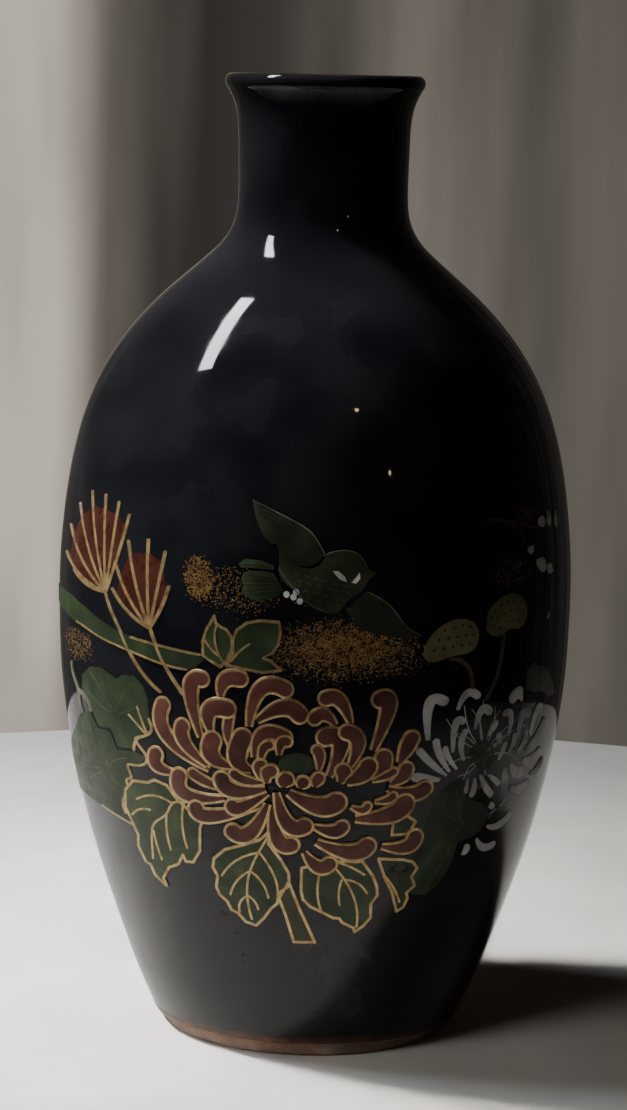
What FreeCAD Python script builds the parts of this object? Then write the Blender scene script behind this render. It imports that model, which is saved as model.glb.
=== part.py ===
import FreeCAD, Part
import math
import os
import random

# A sake bottle (tokkuri): one thrown stoneware shell with a glossy black glaze, a liner glaze
# inside, a glazed recess under the foot, and fired-on enamel and gold painting on the front.
# Millimetres, +Z up, origin on the table at the middle of the foot ring, painting faces -Y.

# ---- driving dimensions ----
GLAZE = 0.35            # thickness of the black glaze and of the liner glaze
BASE_GLAZE = 0.3        # thickness of the glaze in the recess under the foot
ENAMEL = 0.16           # height of the coloured enamel above the glaze
GOLD = 0.22             # height of the gold lines above the glaze
GOLD_LINE = 0.44        # width of a gold line
WASH = 0.08             # height of the thin red wash inside the fan blossoms
GLAZE_LINE = 2.9        # height at which the outer glaze stops above the bare foot
BORE_RADIUS = 10.8      # glazed bore of the neck
BORE_LOW = 136.0        # lower end of the straight bore
BORE_HIGH = 155.0       # upper end of the straight bore
FLOOR = 7.0             # height of the clay floor inside
FLOOR_RADIUS = 10.0     # radius of the flat middle of the floor
FRONT = 0.0             # azimuths of the drawing planes, degrees from the front
LEFT = -60.0
RIGHT = 58.0

# Outer surface of the glaze from the glaze line to just under the lip: radius, height.
OUTER = [(26.55, GLAZE_LINE), (28.8, 8), (31.45, 15), (33.9, 22), (36.5, 30), (38.7, 38), (40.5, 46),
         (41.85, 54), (42.7, 62), (43.0, 70), (43.0, 78), (42.45, 86), (41.4, 94), (39.6, 102),
         (36.55, 110), (32.95, 116), (29.75, 120), (25.85, 124), (22.45, 127), (19.0, 130),
         (16.1, 133), (14.6, 136), (14.05, 140), (14.1, 146), (14.3, 152), (14.85, 155),
         (16.0, 157.5)]
# Rounded lip, then the inner slope down to the bore.
LIP_ROUND = [(16.0, 157.5), (16.55, 158.8), (15.3, 160.0)]
LIP_SLOPE = [(15.3, 160.0), (13.5, 159.4), (11.6, 157.6), (BORE_RADIUS, BORE_HIGH)]
# Hollow of the clay from the bottom of the bore to the rim of the flat floor.
HOLLOW = [(BORE_RADIUS + GLAZE, BORE_LOW), (11.9, 132.6), (15.2, 128.3), (21.8, 123), (28.0, 117.2),
          (32.8, 110.6), (36.1, 102.5), (38.1, 94), (39.2, 85), (39.6, 76), (39.3, 66),
          (38.4, 56), (36.9, 46.5), (34.9, 37.5), (32.3, 28.5), (29.6, 21), (27.4, 15.5),
          (24.5, 11.5), (20, 8.5), (15, 7.3), (FLOOR_RADIUS, FLOOR)]
UP = FreeCAD.Vector(0, 0, 1)


# ---- turned solids ----

def at(radius, height):
    """Point in the half-plane that is turned about the axis."""
    return FreeCAD.Vector(radius, 0, height)


def smooth(points):
    """Spline edge through radius-height points."""
    curve = Part.BSplineCurve()
    curve.interpolate([at(*p) for p in points])
    return curve.toShape()


def shifted(points, distance):
    """The same line of points moved sideways by a distance to its right-hand side."""
    moved = []
    last = len(points) - 1
    for i, (radius, height) in enumerate(points):
        before = points[max(0, i - 1)]
        after = points[min(last, i + 1)]
        run = math.dist(before, after)
        across = (after[1] - before[1]) / run
        along = (after[0] - before[0]) / run
        moved.append((radius + distance * across, height - distance * along))
    return moved


def line(a, b):
    """Straight edge between two radius-height points."""
    return Part.makeLine(at(*a), at(*b))


def bend(a, middle, b):
    """Arc edge through three radius-height points."""
    return Part.Arc(at(*a), at(*middle), at(*b)).toShape()


def turned(edges):
    """Full turn about the axis of the face inside the edges."""
    face = Part.Face(Part.Wire(Part.__sortEdges__(edges)))
    solid = face.revolve(FreeCAD.Vector(0, 0, 0), UP, 360)
    return Part.Solid(solid.Shells[0])


CLAY = shifted(OUTER, -GLAZE)
CLAY_LIP = [CLAY[-1], (16.2, 158.7), (15.2, 159.65)]
CLAY_SLOPE = [CLAY_LIP[-1], (13.6, 159.02), (11.93, 157.35), (BORE_RADIUS + GLAZE, BORE_HIGH)]
clay_side = smooth(CLAY)
clay_lip = bend(*CLAY_LIP)
clay_slope = smooth(CLAY_SLOPE)
clay_bore = line(CLAY_SLOPE[-1], HOLLOW[0])
clay_hollow = smooth(HOLLOW)
RECESS = [(19.2, 2.7), (0, 2.9)]
clay_recess = line(*RECESS)
clay_floor = line(HOLLOW[-1], (0, FLOOR))


def stoneware_body():
    """Clay shell with its bare foot ring."""
    foot = [clay_floor,
            line((0, 2.9), (0, FLOOR)),
            line((21.3, 0), (23.9, 0)),
            bend((23.9, 0), (24.68, 0.28), (25.15, 0.95)),
            line((25.15, 0.95), CLAY[0]),
            bend((21.3, 0), (20.73, 0.24), (20.5, 0.8)),
            line((20.5, 0.8), (20.15, 1.9)),
            bend((20.15, 1.9), (19.8, 2.5), (19.2, 2.7))]
    return turned([clay_side, clay_lip, clay_slope, clay_bore, clay_hollow, clay_recess] + foot)


def black_glaze():
    """Glaze coat from the glaze line over the lip and down the bore."""
    edges = [clay_side, clay_lip, clay_slope, clay_bore,
             line(CLAY[0], OUTER[0]),
             smooth(OUTER),
             bend(*LIP_ROUND),
             smooth(LIP_SLOPE),
             line(LIP_SLOPE[-1], (BORE_RADIUS, BORE_LOW)),
             line((BORE_RADIUS, BORE_LOW), HOLLOW[0])]
    return turned(edges)


def liner_glaze():
    """Glaze coat over the hollow below the bore."""
    inner = shifted(HOLLOW, GLAZE)
    inner[0] = (BORE_RADIUS, BORE_LOW)
    inner[-1] = (FLOOR_RADIUS, FLOOR + GLAZE)
    edges = [clay_hollow, smooth(inner),
             line(HOLLOW[0], inner[0]),
             clay_floor,
             line((0, FLOOR), (0, FLOOR + GLAZE)),
             line((0, FLOOR + GLAZE), inner[-1])]
    return turned(edges)


def base_glaze():
    """Disc of glaze in the recess under the foot."""
    edges = [clay_recess,
             line((19.2, 2.7), (18.8, 2.4)),
             line((18.8, 2.4), (0, 2.9 - BASE_GLAZE)),
             line((0, 2.9 - BASE_GLAZE), (0, 2.9))]
    return turned(edges)


# ---- painting on the curved wall ----
# Each motif is drawn flat in a drawing plane (across, height) and carried onto the glaze.

def coat(plane, thickness):
    """Half-round skin of a given thickness on the glaze, facing the drawing plane."""
    inner = smooth(OUTER)
    outer = smooth([(radius + thickness, height) for radius, height in OUTER])
    ends = [line(OUTER[0], (OUTER[0][0] + thickness, OUTER[0][1])),
            line(OUTER[-1], (OUTER[-1][0] + thickness, OUTER[-1][1]))]
    face = Part.Face(Part.Wire(Part.__sortEdges__([inner, outer] + ends)))
    skin = face.revolve(FreeCAD.Vector(0, 0, 0), UP, 180)
    skin = Part.Solid(skin.Shells[0])
    skin.rotate(FreeCAD.Vector(0, 0, 0), UP, plane - 180)
    return skin


def flat(points):
    """Flat face inside a closed line of (across, height) points."""
    corners = [FreeCAD.Vector(across, -60, height) for across, height in points]
    return Part.Face(Part.makePolygon(corners + [corners[0]]))


def curve_points(points, closed=False, pieces=3):
    """Points of a smooth curve through the given points."""
    places = [FreeCAD.Vector(across, -60, height) for across, height in points]
    curve = Part.BSplineCurve()
    curve.interpolate(Points=places, PeriodicFlag=closed)
    count = pieces * (len(points) if closed else len(points) - 1)
    low = curve.FirstParameter
    span = curve.LastParameter - low
    count_out = count if closed else count + 1
    found = [curve.value(low + span * i / count) for i in range(count_out)]
    return [(v.x, v.z) for v in found]


def brush(points, width):
    """Flat face of a brush line of even width with round ends."""
    places = [FreeCAD.Vector(across, -60, height) for across, height in points]
    wire = Part.makePolygon(places)
    return wire.makeOffset2D(width / 2, join=0, fill=True, openResult=False)


def band(face, width):
    """Line of even width that follows the rim of a face."""
    outside = face.makeOffset2D(width / 2)
    inside = face.makeOffset2D(-width / 2)
    return outside.cut(inside)


def disc(across, height, radius):
    """Small round dot."""
    turns = [2 * math.pi * i / 14 for i in range(14)]
    return flat([(across + radius * math.cos(a), height + radius * math.sin(a)) for a in turns])


def petal(base, turn, tip, width, grow=0.0):
    """Flat face of one curled petal: a curved stroke that widens to a round tip."""
    steps = 10

    def point(s):
        return [(1 - s) ** 2 * base[k] + 2 * s * (1 - s) * turn[k] + s * s * tip[k] for k in (0, 1)]

    def heading(s):
        way = [2 * (1 - s) * (turn[k] - base[k]) + 2 * s * (tip[k] - turn[k]) for k in (0, 1)]
        length = math.hypot(way[0], way[1])
        return (way[0] / length, way[1] / length)

    def half(s):
        return width / 2 * (0.35 + 0.65 * math.sin(min(1.0, s / 0.7) * math.pi / 2)) + grow

    spine = [(point(i / 40), half(i / 40)) for i in range(41)]
    sides = {1: [], -1: []}
    for i in range(steps):
        s = i / (steps - 1)
        here, way, reach = point(s), heading(s), half(s)
        for side, kept in sides.items():
            spot = (here[0] - side * way[1] * reach, here[1] + side * way[0] * reach)
            if all(math.dist(spot, middle) >= 0.97 * room for middle, room in spine):
                kept.append(spot)
    here, way, reach = point(1), heading(1), half(1)
    cap = []
    for i in range(1, 8):
        angle = math.pi / 2 - math.pi * i / 8
        ahead, aside = reach * math.cos(angle), reach * math.sin(angle)
        cap.append((here[0] + ahead * way[0] - aside * way[1], here[1] + ahead * way[1] + aside * way[0]))
    return flat(sides[1] + cap + sides[-1][::-1])


def joined(faces):
    """One flat shape covering all the faces."""
    if len(faces) == 1:
        return faces[0]
    return faces[0].fuse(faces[1:])


def less(shape, cutters):
    """The shape without the parts under the cutters."""
    near = [c for c in cutters if c.BoundBox.intersect(shape.BoundBox)]
    return shape.cut(near) if near else shape


def prisms(shape, plane):
    """Straight prisms from every face of a flat shape through the wall."""
    found = []
    for face in shape.Faces:
        prism = face.extrude(FreeCAD.Vector(0, 60, 0))
        prism.rotate(FreeCAD.Vector(0, 0, 0), UP, plane)
        found.append(prism)
    return found


def closed(solid):
    """Whether each edge of the solid's mesh is shared by exactly two triangles."""
    uses = {}
    for corners in solid.tessellate(0.05)[1]:
        for i in range(3):
            edge = tuple(sorted((corners[i], corners[i - 1])))
            uses[edge] = uses.get(edge, 0) + 1
    return all(count == 2 for count in uses.values())


def pads_from(face, plane, thickness, skin, cutters, nudge):
    """Pads cut from the skin by one flat face moved a hair's breadth, or None if the cut is unsound."""
    prism = face.extrude(FreeCAD.Vector(0, 60, 0))
    prism.translate(FreeCAD.Vector(nudge, 0, nudge))
    prism.rotate(FreeCAD.Vector(0, 0, 0), UP, plane)
    whole = prism.common(skin)
    solids = [] if whole.isNull() else whole.Solids
    share = sum(s.Volume for s in solids) / (face.Area * thickness)
    if not 0.8 < share < 4:
        return None
    pads = []
    for solid in solids:
        near = [c for c in cutters if c.BoundBox.intersect(solid.BoundBox)]
        pads.extend(solid.cut(near).Solids if near else [solid])
    pads = [pad for pad in pads if pad.Volume > 0.03 * thickness]
    return pads if all(pad.isValid() and closed(pad) for pad in pads) else None


def halves(face):
    """The face cut in two across its longer side."""
    box = face.BoundBox
    left, right, low, high = box.XMin - 1, box.XMax + 1, box.ZMin - 1, box.ZMax + 1
    if box.XLength > box.ZLength:
        middle = (left + right) / 2
        strips = [(left, middle, low, high), (middle, right, low, high)]
    else:
        middle = (low + high) / 2
        strips = [(left, right, low, middle), (left, right, middle, high)]
    found = []
    for x0, x1, z0, z1 in strips:
        found.extend(face.common(flat([(x0, z0), (x1, z0), (x1, z1), (x0, z1)])).Faces)
    return found


def fired(shape, plane, thickness, cutters=(), splits=5):
    """Separate enamel pads on the glaze for a flat drawing; the cutters are prisms to leave out.

    A face whose cut stays unsound is halved and tried again."""
    skin = coat(plane, thickness)
    pads = []
    for face in shape.Faces:
        if face.Area < 0.03:
            continue
        for nudge in (0, 0.003, -0.004, 0.007, -0.009, 0.013):
            found = pads_from(face, plane, thickness, skin, cutters, nudge)
            if found is not None:
                break
        if found is None and splits:
            found = fired(Part.makeCompound(halves(face)), plane, thickness, cutters, splits - 1)
        pads.extend(found or [])
    return pads


# ---- the motifs, back to front ----

# Curled petals of the red chrysanthemum, back to front: base, turn, tip, width.
RED_PETALS = [
    ((-12.8, 55.5), (-13.5, 58), (-12.9, 60.4), 1.6), ((-13, 48.3), (-17, 49), (-18.6, 50.3), 1.8),
    ((-16, 51.3), (-25.8, 55.5), (-23.6, 61.0), 2.4), ((-16.3, 51.9), (-21.5, 55.5), (-20.4, 58.0), 2.4),
    ((-17.4, 56.5), (-20.8, 66.5), (-17.5, 66.0), 2.6), ((-14.3, 63.5), (-14.5, 67.2), (-11.4, 66.6), 2.6),
    ((-15.8, 57.6), (-17.5, 62.3), (-13.4, 61.6), 3.0), ((-12.6, 52.2), (-17, 53), (-15.6, 56.2), 3.0),
    ((-9.8, 59), (-9.3, 68.0), (-4.3, 65.3), 2.6), ((-8.6, 60), (-4, 64), (-2.0, 61.3), 2.8),
    ((-9.3, 51.9), (-13, 52.5), (-10.8, 57.0), 3.2), ((-8.9, 54), (-8.8, 60), (-4.2, 57.6), 2.4),
    ((-5, 54.6), (-5.2, 57.2), (-3.9, 56.9), 1.8), ((-7.8, 53), (-8, 56), (-6.6, 56.2), 1.6),
    ((2.8, 51.3), (6.5, 59), (2.2, 57.8), 3.0), ((1.2, 52.3), (1.6, 55), (0.9, 55.6), 1.8),
    ((6, 60), (4.5, 65.3), (2.1, 64.0), 2.4), ((6, 53), (8.6, 58), (5.5, 58.6), 2.6),
    ((3.6, 59.8), (1.8, 62.5), (0.4, 60.8), 2.2), ((9.6, 55.5), (13.5, 65.3), (10.6, 63.8), 2.8),
    ((9.8, 50.6), (11.5, 52.5), (11.3, 54.3), 2.8), ((13.8, 53.3), (15, 56), (15.6, 57.2), 2.6),
    ((12.5, 49.8), (14.8, 51), (14.9, 52.2), 2.4), ((9.5, 50.5), (12, 51.2), (12.9, 51.9), 1.4),
    ((4.5, 50.3), (5.3, 52), (5, 52.2), 2.6), ((5.5, 50.3), (8.5, 51.5), (8.9, 52.9), 3.0),
    ((-21.5, 50), (-25.5, 50), (-24.6, 52.6), 2.4), ((-13.5, 46.8), (-22, 45), (-20.8, 49.6), 2.6),
    ((-7.5, 46.3), (-18.0, 41.6), (-18, 44.5), 2.6), ((12, 49.2), (16.2, 47), (17.9, 48.7), 2.6),
    ((10, 47), (12.5, 47), (12.9, 47.8), 1.4), ((7, 44.2), (14, 44), (14.8, 46.4), 3.2),
    ((11.3, 39.3), (16.4, 37.9), (16.6, 40.5), 2.6), ((1, 40.3), (7.5, 37.0), (9.0, 39.4), 3.0),
    ((-0.8, 38.5), (1.5, 34.6), (3.1, 36.4), 2.6), ((0.5, 43), (4.2, 41.3), (5.0, 42.8), 2.4),
    ((-3.5, 48.6), (2, 45), (4.0, 47.0), 3.4), ((6.3, 46.3), (8.5, 45), (8.9, 46.3), 1.4),
    ((-6, 46), (-5.5, 38.5), (-3.0, 39.6), 2.8), ((-5.3, 48.5), (-4, 41.0), (-0.9, 42.9), 2.8),
    ((-6.7, 46.5), (-9.3, 39), (-12.0, 41.2), 2.8), ((-6.7, 48.3), (-12, 44.2), (-12.2, 45.6), 2.4),
    ((-7, 49), (-13.3, 47), (-13.9, 49.9), 2.8), ((-7.2, 50), (-10.5, 49.8), (-11.9, 51.0), 1.8),
    ((-7.9, 50.7), (-9, 53), (-7.7, 53.1), 1.5), ((-6.8, 49.9), (-7.2, 52), (-6.2, 52.0), 2.2),
    ((-4.2, 49.4), (-4.2, 50.2), (-3.9, 50.6), 2.7), ((-1.6, 49.3), (-1.4, 50.0), (-1.2, 50.3), 2.2),
    ((0.6, 49.6), (0.8, 50.6), (1.2, 51.1), 2.0)]
RED_EYE = [(-5.2, 52.6), (-4.6, 54.2), (-2.6, 55.0), (-0.4, 54.6), (0.6, 53.2), (0.2, 52.2), (-2.2, 51.6)]

# Front leaves with gold rims: rim, then veins.
LEAF_LOW_LEFT = (
    [(-21.2, 45.3), (-23, 47.5), (-25, 48), (-26.2, 47.3), (-28.7, 47), (-30, 45), (-30, 42), (-29, 40),
     (-27.8, 37.5), (-27.8, 35.5), (-26.5, 33), (-25.7, 32.7), (-25, 31), (-23, 29.5), (-23.6, 30.8),
     (-22.6, 33), (-21, 34), (-20.3, 35.8), (-19.8, 34.7), (-18.6, 34.8), (-17.5, 37), (-17.5, 41),
     (-17.2, 42.2)],
    [[(-20, 45), (-22.3, 44.2), (-23, 42.5), (-25, 40.5), (-25.5, 38), (-25.3, 34)],
     [(-22, 44.5), (-25, 45.3), (-28, 44)], [(-23, 42.5), (-22.9, 39), (-22.3, 36.3)],
     [(-20.3, 44.5), (-20.4, 41), (-19.6, 37.2)], [(-25.2, 39), (-24.6, 36.5), (-23.8, 34.2)],
     [(-28.8, 41), (-27, 42.5), (-25.8, 42.6)]])
LEAF_LOW_MIDDLE = (
    [(-6.5, 41.5), (-8, 40), (-11.5, 38.6), (-13.5, 37.8), (-15.2, 36), (-15.4, 34.5), (-14.6, 33),
     (-14.8, 31), (-14.3, 29.8), (-13, 28.6), (-12.3, 27.2), (-11.2, 26.7), (-10, 25.3), (-8.3, 24.8),
     (-7, 26.3), (-6, 28), (-5, 29), (-4.7, 31), (-3.1, 32.3), (-3.2, 34.5), (-4.5, 36.8), (-6.5, 39.5)],
    [[(-6.5, 41), (-8, 38), (-9.3, 34.8), (-9.8, 32), (-9.8, 30), (-9, 25.9)],
     [(-8.2, 37.8), (-12, 35.8), (-13.9, 33.2)], [(-8, 38), (-6.3, 35.5), (-5.2, 33), (-4.9, 30.5)],
     [(-9.2, 34.6), (-11.5, 32.5), (-12.5, 30)], [(-9.2, 34.4), (-7.5, 32.7), (-6.4, 30)],
     [(-9.8, 30), (-10.8, 29), (-11, 27)], [(-9.6, 30), (-8.5, 29), (-8, 27.8)]])
LEAF_LOW_RIGHT = (
    [(-1.2, 35.5), (-1.2, 31.5), (-0.9, 30), (0.3, 28.7), (1.7, 28), (4, 26.7), (5, 26.6), (5.5, 25.8),
     (7.3, 24.8), (7.5, 24), (8.8, 25), (10, 26.5), (10, 29), (11, 30.5), (10.9, 32), (10.2, 34),
     (8.5, 36.6), (3, 36.8)],
    [[(3.8, 36), (5.5, 33.8), (7.5, 29.5), (7.8, 25)], [(5.7, 33.5), (7.5, 33), (9.3, 31)],
     [(5.2, 33.4), (4.8, 31), (5, 29)], [(1.8, 35), (1.4, 32), (2, 28)],
     [(4.8, 36.5), (7, 35.5), (8.8, 34.3)]])
LEAF_SMALL_RIGHT = (
    [(12.2, 33.3), (13.3, 31), (14.2, 27.3), (15.3, 28), (15.9, 29.5), (15.7, 30.5), (17, 31.7),
     (16.4, 33.3), (17.3, 34.8), (16.5, 36), (15, 36.5), (11, 37)],
    [[(13.4, 35), (15.3, 34.7)], [(12.3, 33.6), (13.6, 31.6), (14.6, 29)]])
LEAF_BETWEEN = ([(13, 41), (13.2, 43.3), (15, 44.5), (16.8, 43), (15.7, 41)], [])
LEAF_TOP_LEFT = (
    [(-17.3, 69.8), (-17.4, 72), (-16.8, 74), (-15.6, 76.2), (-15.3, 75.1), (-14.6, 74.6),
     (-13.6, 74.2), (-12.8, 73), (-12.7, 71.4), (-13.5, 69.4), (-14.5, 68.2), (-16, 69)],
    [[(-13.5, 68.4), (-14.6, 69.8), (-15.3, 71.5), (-15.5, 73.5), (-15.1, 75)],
     [(-14.7, 69.9), (-16, 70.9), (-17.2, 72.5)]])
LEAF_TOP_RIGHT = (
    [(-13.5, 68.6), (-12.6, 70.6), (-12.6, 72.8), (-12, 74.3), (-10.5, 75.5), (-8.5, 76),
     (-5.5, 75.9), (-5.2, 74.6), (-5.5, 72.4), (-6.4, 71), (-8.2, 70.2), (-6.6, 69.7), (-5, 68.3),
     (-8, 67.8)],
    [[(-12.8, 69.3), (-11.5, 71), (-10, 72.2)]])
FRONT_LEAVES = [LEAF_TOP_RIGHT, LEAF_TOP_LEFT, LEAF_LOW_LEFT, LEAF_LOW_MIDDLE, LEAF_LOW_RIGHT,
                LEAF_SMALL_RIGHT, LEAF_BETWEEN]
STEM = [(-4.7, 30), (-3.6, 27), (-2.2, 22.2), (1.2, 22.2), (-1.3, 28), (-3.2, 33)]

# Broad leaves without gold at the left and right edges, and their few pale lines.
LEFT_LEAF_HIGH = [(1.6, 57.6), (-1.4, 60.2), (-0.9, 62.6), (2, 64.4), (5.5, 64.8), (7.5, 64.2), (9.5, 63.6),
                  (11, 64.6), (13.5, 64.8), (15.2, 63.5), (16.1, 61.5), (16.2, 58.5), (15.4, 55.6),
                  (12.9, 54.4), (12.2, 52.6), (8.4, 52.2), (7, 55), (3.4, 54.9)]
LEFT_LEAF_LOW = [(-15.4, 40.2), (-15.8, 46), (-13, 48.8), (-7, 52.4), (-3.2, 55.6), (0.9, 56.8), (3, 54.4),
                 (6.7, 54.5), (8, 51.7), (12.2, 52.1), (14.6, 51.6), (12.9, 50), (10.2, 49.4),
                 (10.6, 47.6), (9.3, 46.9), (9.8, 45), (8.2, 43.9), (7.1, 42.4), (7.4, 41),
                 (8.6, 39.4), (5, 39.8), (0, 40.6), (-8, 40.8)]
LEFT_RIM = [(16.1, 58.2), (15.4, 55.4), (12.8, 54.3), (14.8, 51.6), (12.9, 49.9), (10.1, 49.3), (10.6, 47.5),
            (9.2, 46.8), (9.8, 45), (8.1, 43.8), (7, 42.3), (7.4, 40.9)]
LEFT_RIM_LOW = [(9.2, 39.0), (7.8, 39.3), (5, 39.8), (0, 40.6)]
LEFT_VEINS = [[(12.2, 52.4), (13, 54.2), (14.6, 55)], [(12, 58.2), (13.6, 57), (15.2, 55.6)],
              [(14, 59.8), (14.6, 58), (15.4, 56)]]
CORAL = [[(-6, 63.6), (-4.6, 61), (-3.2, 59.4), (-2.9, 57.6), (-2.2, 56.2)],
         [(-3.5, 59.6), (-1, 59.2), (0.6, 58.4), (1.1, 57.1)]]
RIGHT_LEAF_LOW = [(-19.9, 45), (-19, 47.5), (-17, 49.3), (-15, 49.2), (-13.8, 46), (-10, 44.4), (-8, 42.4),
                  (-9, 39.6), (-11, 38.8), (-13.5, 38.4), (-13.8, 34), (-15, 31), (-17, 29.7),
                  (-19, 30.2), (-20, 32.5), (-20, 36), (-19.5, 38), (-20.3, 41)]
RIGHT_LEAF_HIGH = [(-3.6, 66), (-1.5, 67), (0, 66), (3, 65.5), (5, 63.5), (7, 62), (8, 60), (5, 60),
                   (2, 61.6), (-1, 61.9), (-3.4, 62.6)]

# Long grass blade, left.
BLADE = [(-17, 75), (-10, 75.3), (-5, 75), (0, 74), (5, 72.7), (10, 71.5), (15, 70.8), (20, 70.3),
         (25, 69.8), (25.5, 69), (24, 67.3), (22, 67.3), (18, 67.8), (15, 68.4), (10, 69.2), (5, 69.9),
         (0, 70.8), (-5, 71.2), (-10, 71.8), (-17, 72.3)]
BLADE_LINES = [[(13, 71.0), (18, 70.5), (25, 69.8)],
               [(-3, 71.1), (0, 70.8), (5, 69.9), (10, 69.2), (15, 68.4), (18, 67.8), (23, 67.2)]]

# Fan blossoms, left: foot of the ribs, rib tips, stem.
FAN_LARGE = ((6.8, 77.4), [(-4.6, 79.4), (-9.4, 81.6), (-8.2, 86.2), (-4.5, 90.2), (-0.2, 92.7),
                           (4.3, 92.7), (8.1, 92), (11, 90.3)],
             [(6.8, 77.2), (8.5, 74.4), (10.5, 71.8), (12, 69.5), (14, 67), (16.5, 64.5), (18.6, 63)])
FAN_SMALL = ((16.8, 73), [(8.5, 78.2), (9.2, 81.9), (11.5, 86.2), (15.6, 86.9), (18.9, 85.4), (20, 80)],
             [(17, 72.8), (18.2, 70), (19.5, 67.5), (21.5, 64.5), (22.4, 63.2)])

# Bird over the gold cloud.
BIRD_WING_HIGH = [(-10, 94.7), (-8.5, 93.6), (-6, 92.6), (-4, 92), (-2, 91), (-0.5, 89.8), (0.8, 88),
                  (1.5, 86.7), (0.4, 85.4), (-1, 84.8), (-5.6, 84.9), (-5.7, 86.8), (-6, 88), (-7, 88.1),
                  (-8, 89), (-8.8, 90.5), (-9.5, 92.3)]
BIRD_TAIL = [[(-11.9, 84.7), (-11, 85.5), (-8.5, 85.4), (-6.4, 84.7), (-6.4, 84), (-9.5, 84.2), (-11.5, 84.1)],
             [(-11.2, 83.3), (-10, 83.7), (-8, 83.7), (-6.4, 83.5), (-5.5, 82), (-4.9, 81), (-5.4, 80.2),
              (-6.7, 79.5), (-8.5, 79), (-10.5, 79.5), (-11.4, 80.5), (-11, 81.5), (-11.5, 82.3)]]
BIRD_BODY = [(-5.8, 84.4), (-4.6, 82), (-3, 80.8), (-1.2, 79), (1.5, 77.6), (3.8, 77.7), (4.5, 78.6),
             (5.8, 80), (7.6, 81.3), (8.4, 82.8), (9.6, 83.7), (8.3, 84.3), (7.8, 85.5), (6.8, 86.7),
             (5.5, 87.2), (3.5, 87.3), (2, 86.8), (0.8, 85.1), (-1, 84.4)]
BIRD_WING_LOW = [(8.1, 80.9), (10, 80.2), (12, 78.5), (13.3, 76.8), (14.5, 75.2), (17, 73.6), (15, 73.3),
                 (12.5, 73.6), (9.5, 74.2), (7, 75.2), (6, 76.8), (4.9, 77.9), (6.2, 79.5)]
BIRD_MARKS = [[(2.7, 84.1), (3.6, 84.1), (4.6, 83.3), (4.9, 82.4), (3.8, 82.8)],
              [(5.6, 82.3), (6.4, 82.2), (7.0, 82.9), (6.9, 83.9), (6.4, 83.2)]]
BIRD_CLAWS = [(-4.4, 80.3), (-3.3, 79.9), (-2.3, 79.3), (-2.9, 80.7)]

# Lotus pods with seed dots, right: rim, seed rows.
POD_LOW = [(-24.3, 70.6), (-23.8, 72.8), (-22.2, 74.7), (-20, 75.8), (-17.5, 75.7), (-15.7, 74.3),
           (-15.4, 72.5), (-16.2, 70.8), (-18, 70.2), (-19.5, 70.1), (-21, 69.8), (-22.7, 69.3), (-23.9, 69.6)]
POD_HIGH = [(-13.8, 75), (-13.5, 76.5), (-11.5, 78.2), (-9, 79), (-7, 78.7), (-5, 77.3), (-4.3, 75.5),
            (-5, 73.8), (-6.5, 73), (-8.5, 73.3), (-10, 72.8), (-11.5, 72.3), (-13, 72.8), (-13.9, 74)]
POD_STEMS = [[(-20, 69.6), (-18.5, 69.2), (-17, 67.9), (-16.2, 66), (-16.1, 64.7)],
             [(-10, 72.3), (-10.3, 70), (-10.8, 67), (-11.8, 64.5), (-13, 62.5)]]
POD_SEEDS = [(-22.9, 71.2), (-21.4, 71.4), (-22.2, 72.8), (-20.7, 73), (-21.3, 74.3), (-19.9, 71.5),
             (-19.2, 73.1), (-19.8, 74.5), (-18.4, 74.8), (-18.4, 71.6), (-17.7, 73.2), (-17, 74.5),
             (-17, 71.8), (-16.4, 73.1),
             (-12.9, 75.6), (-12.4, 74), (-11.6, 75.3), (-12.1, 76.7), (-10.9, 77.3), (-11.1, 73.6),
             (-10.2, 75.9), (-9.3, 77.8), (-9.5, 74.6), (-8.6, 76.3), (-7.8, 77.8), (-8, 74.8),
             (-6.9, 76.4), (-6.6, 74.5), (-6.1, 77.5), (-5.4, 75.7)]

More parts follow.
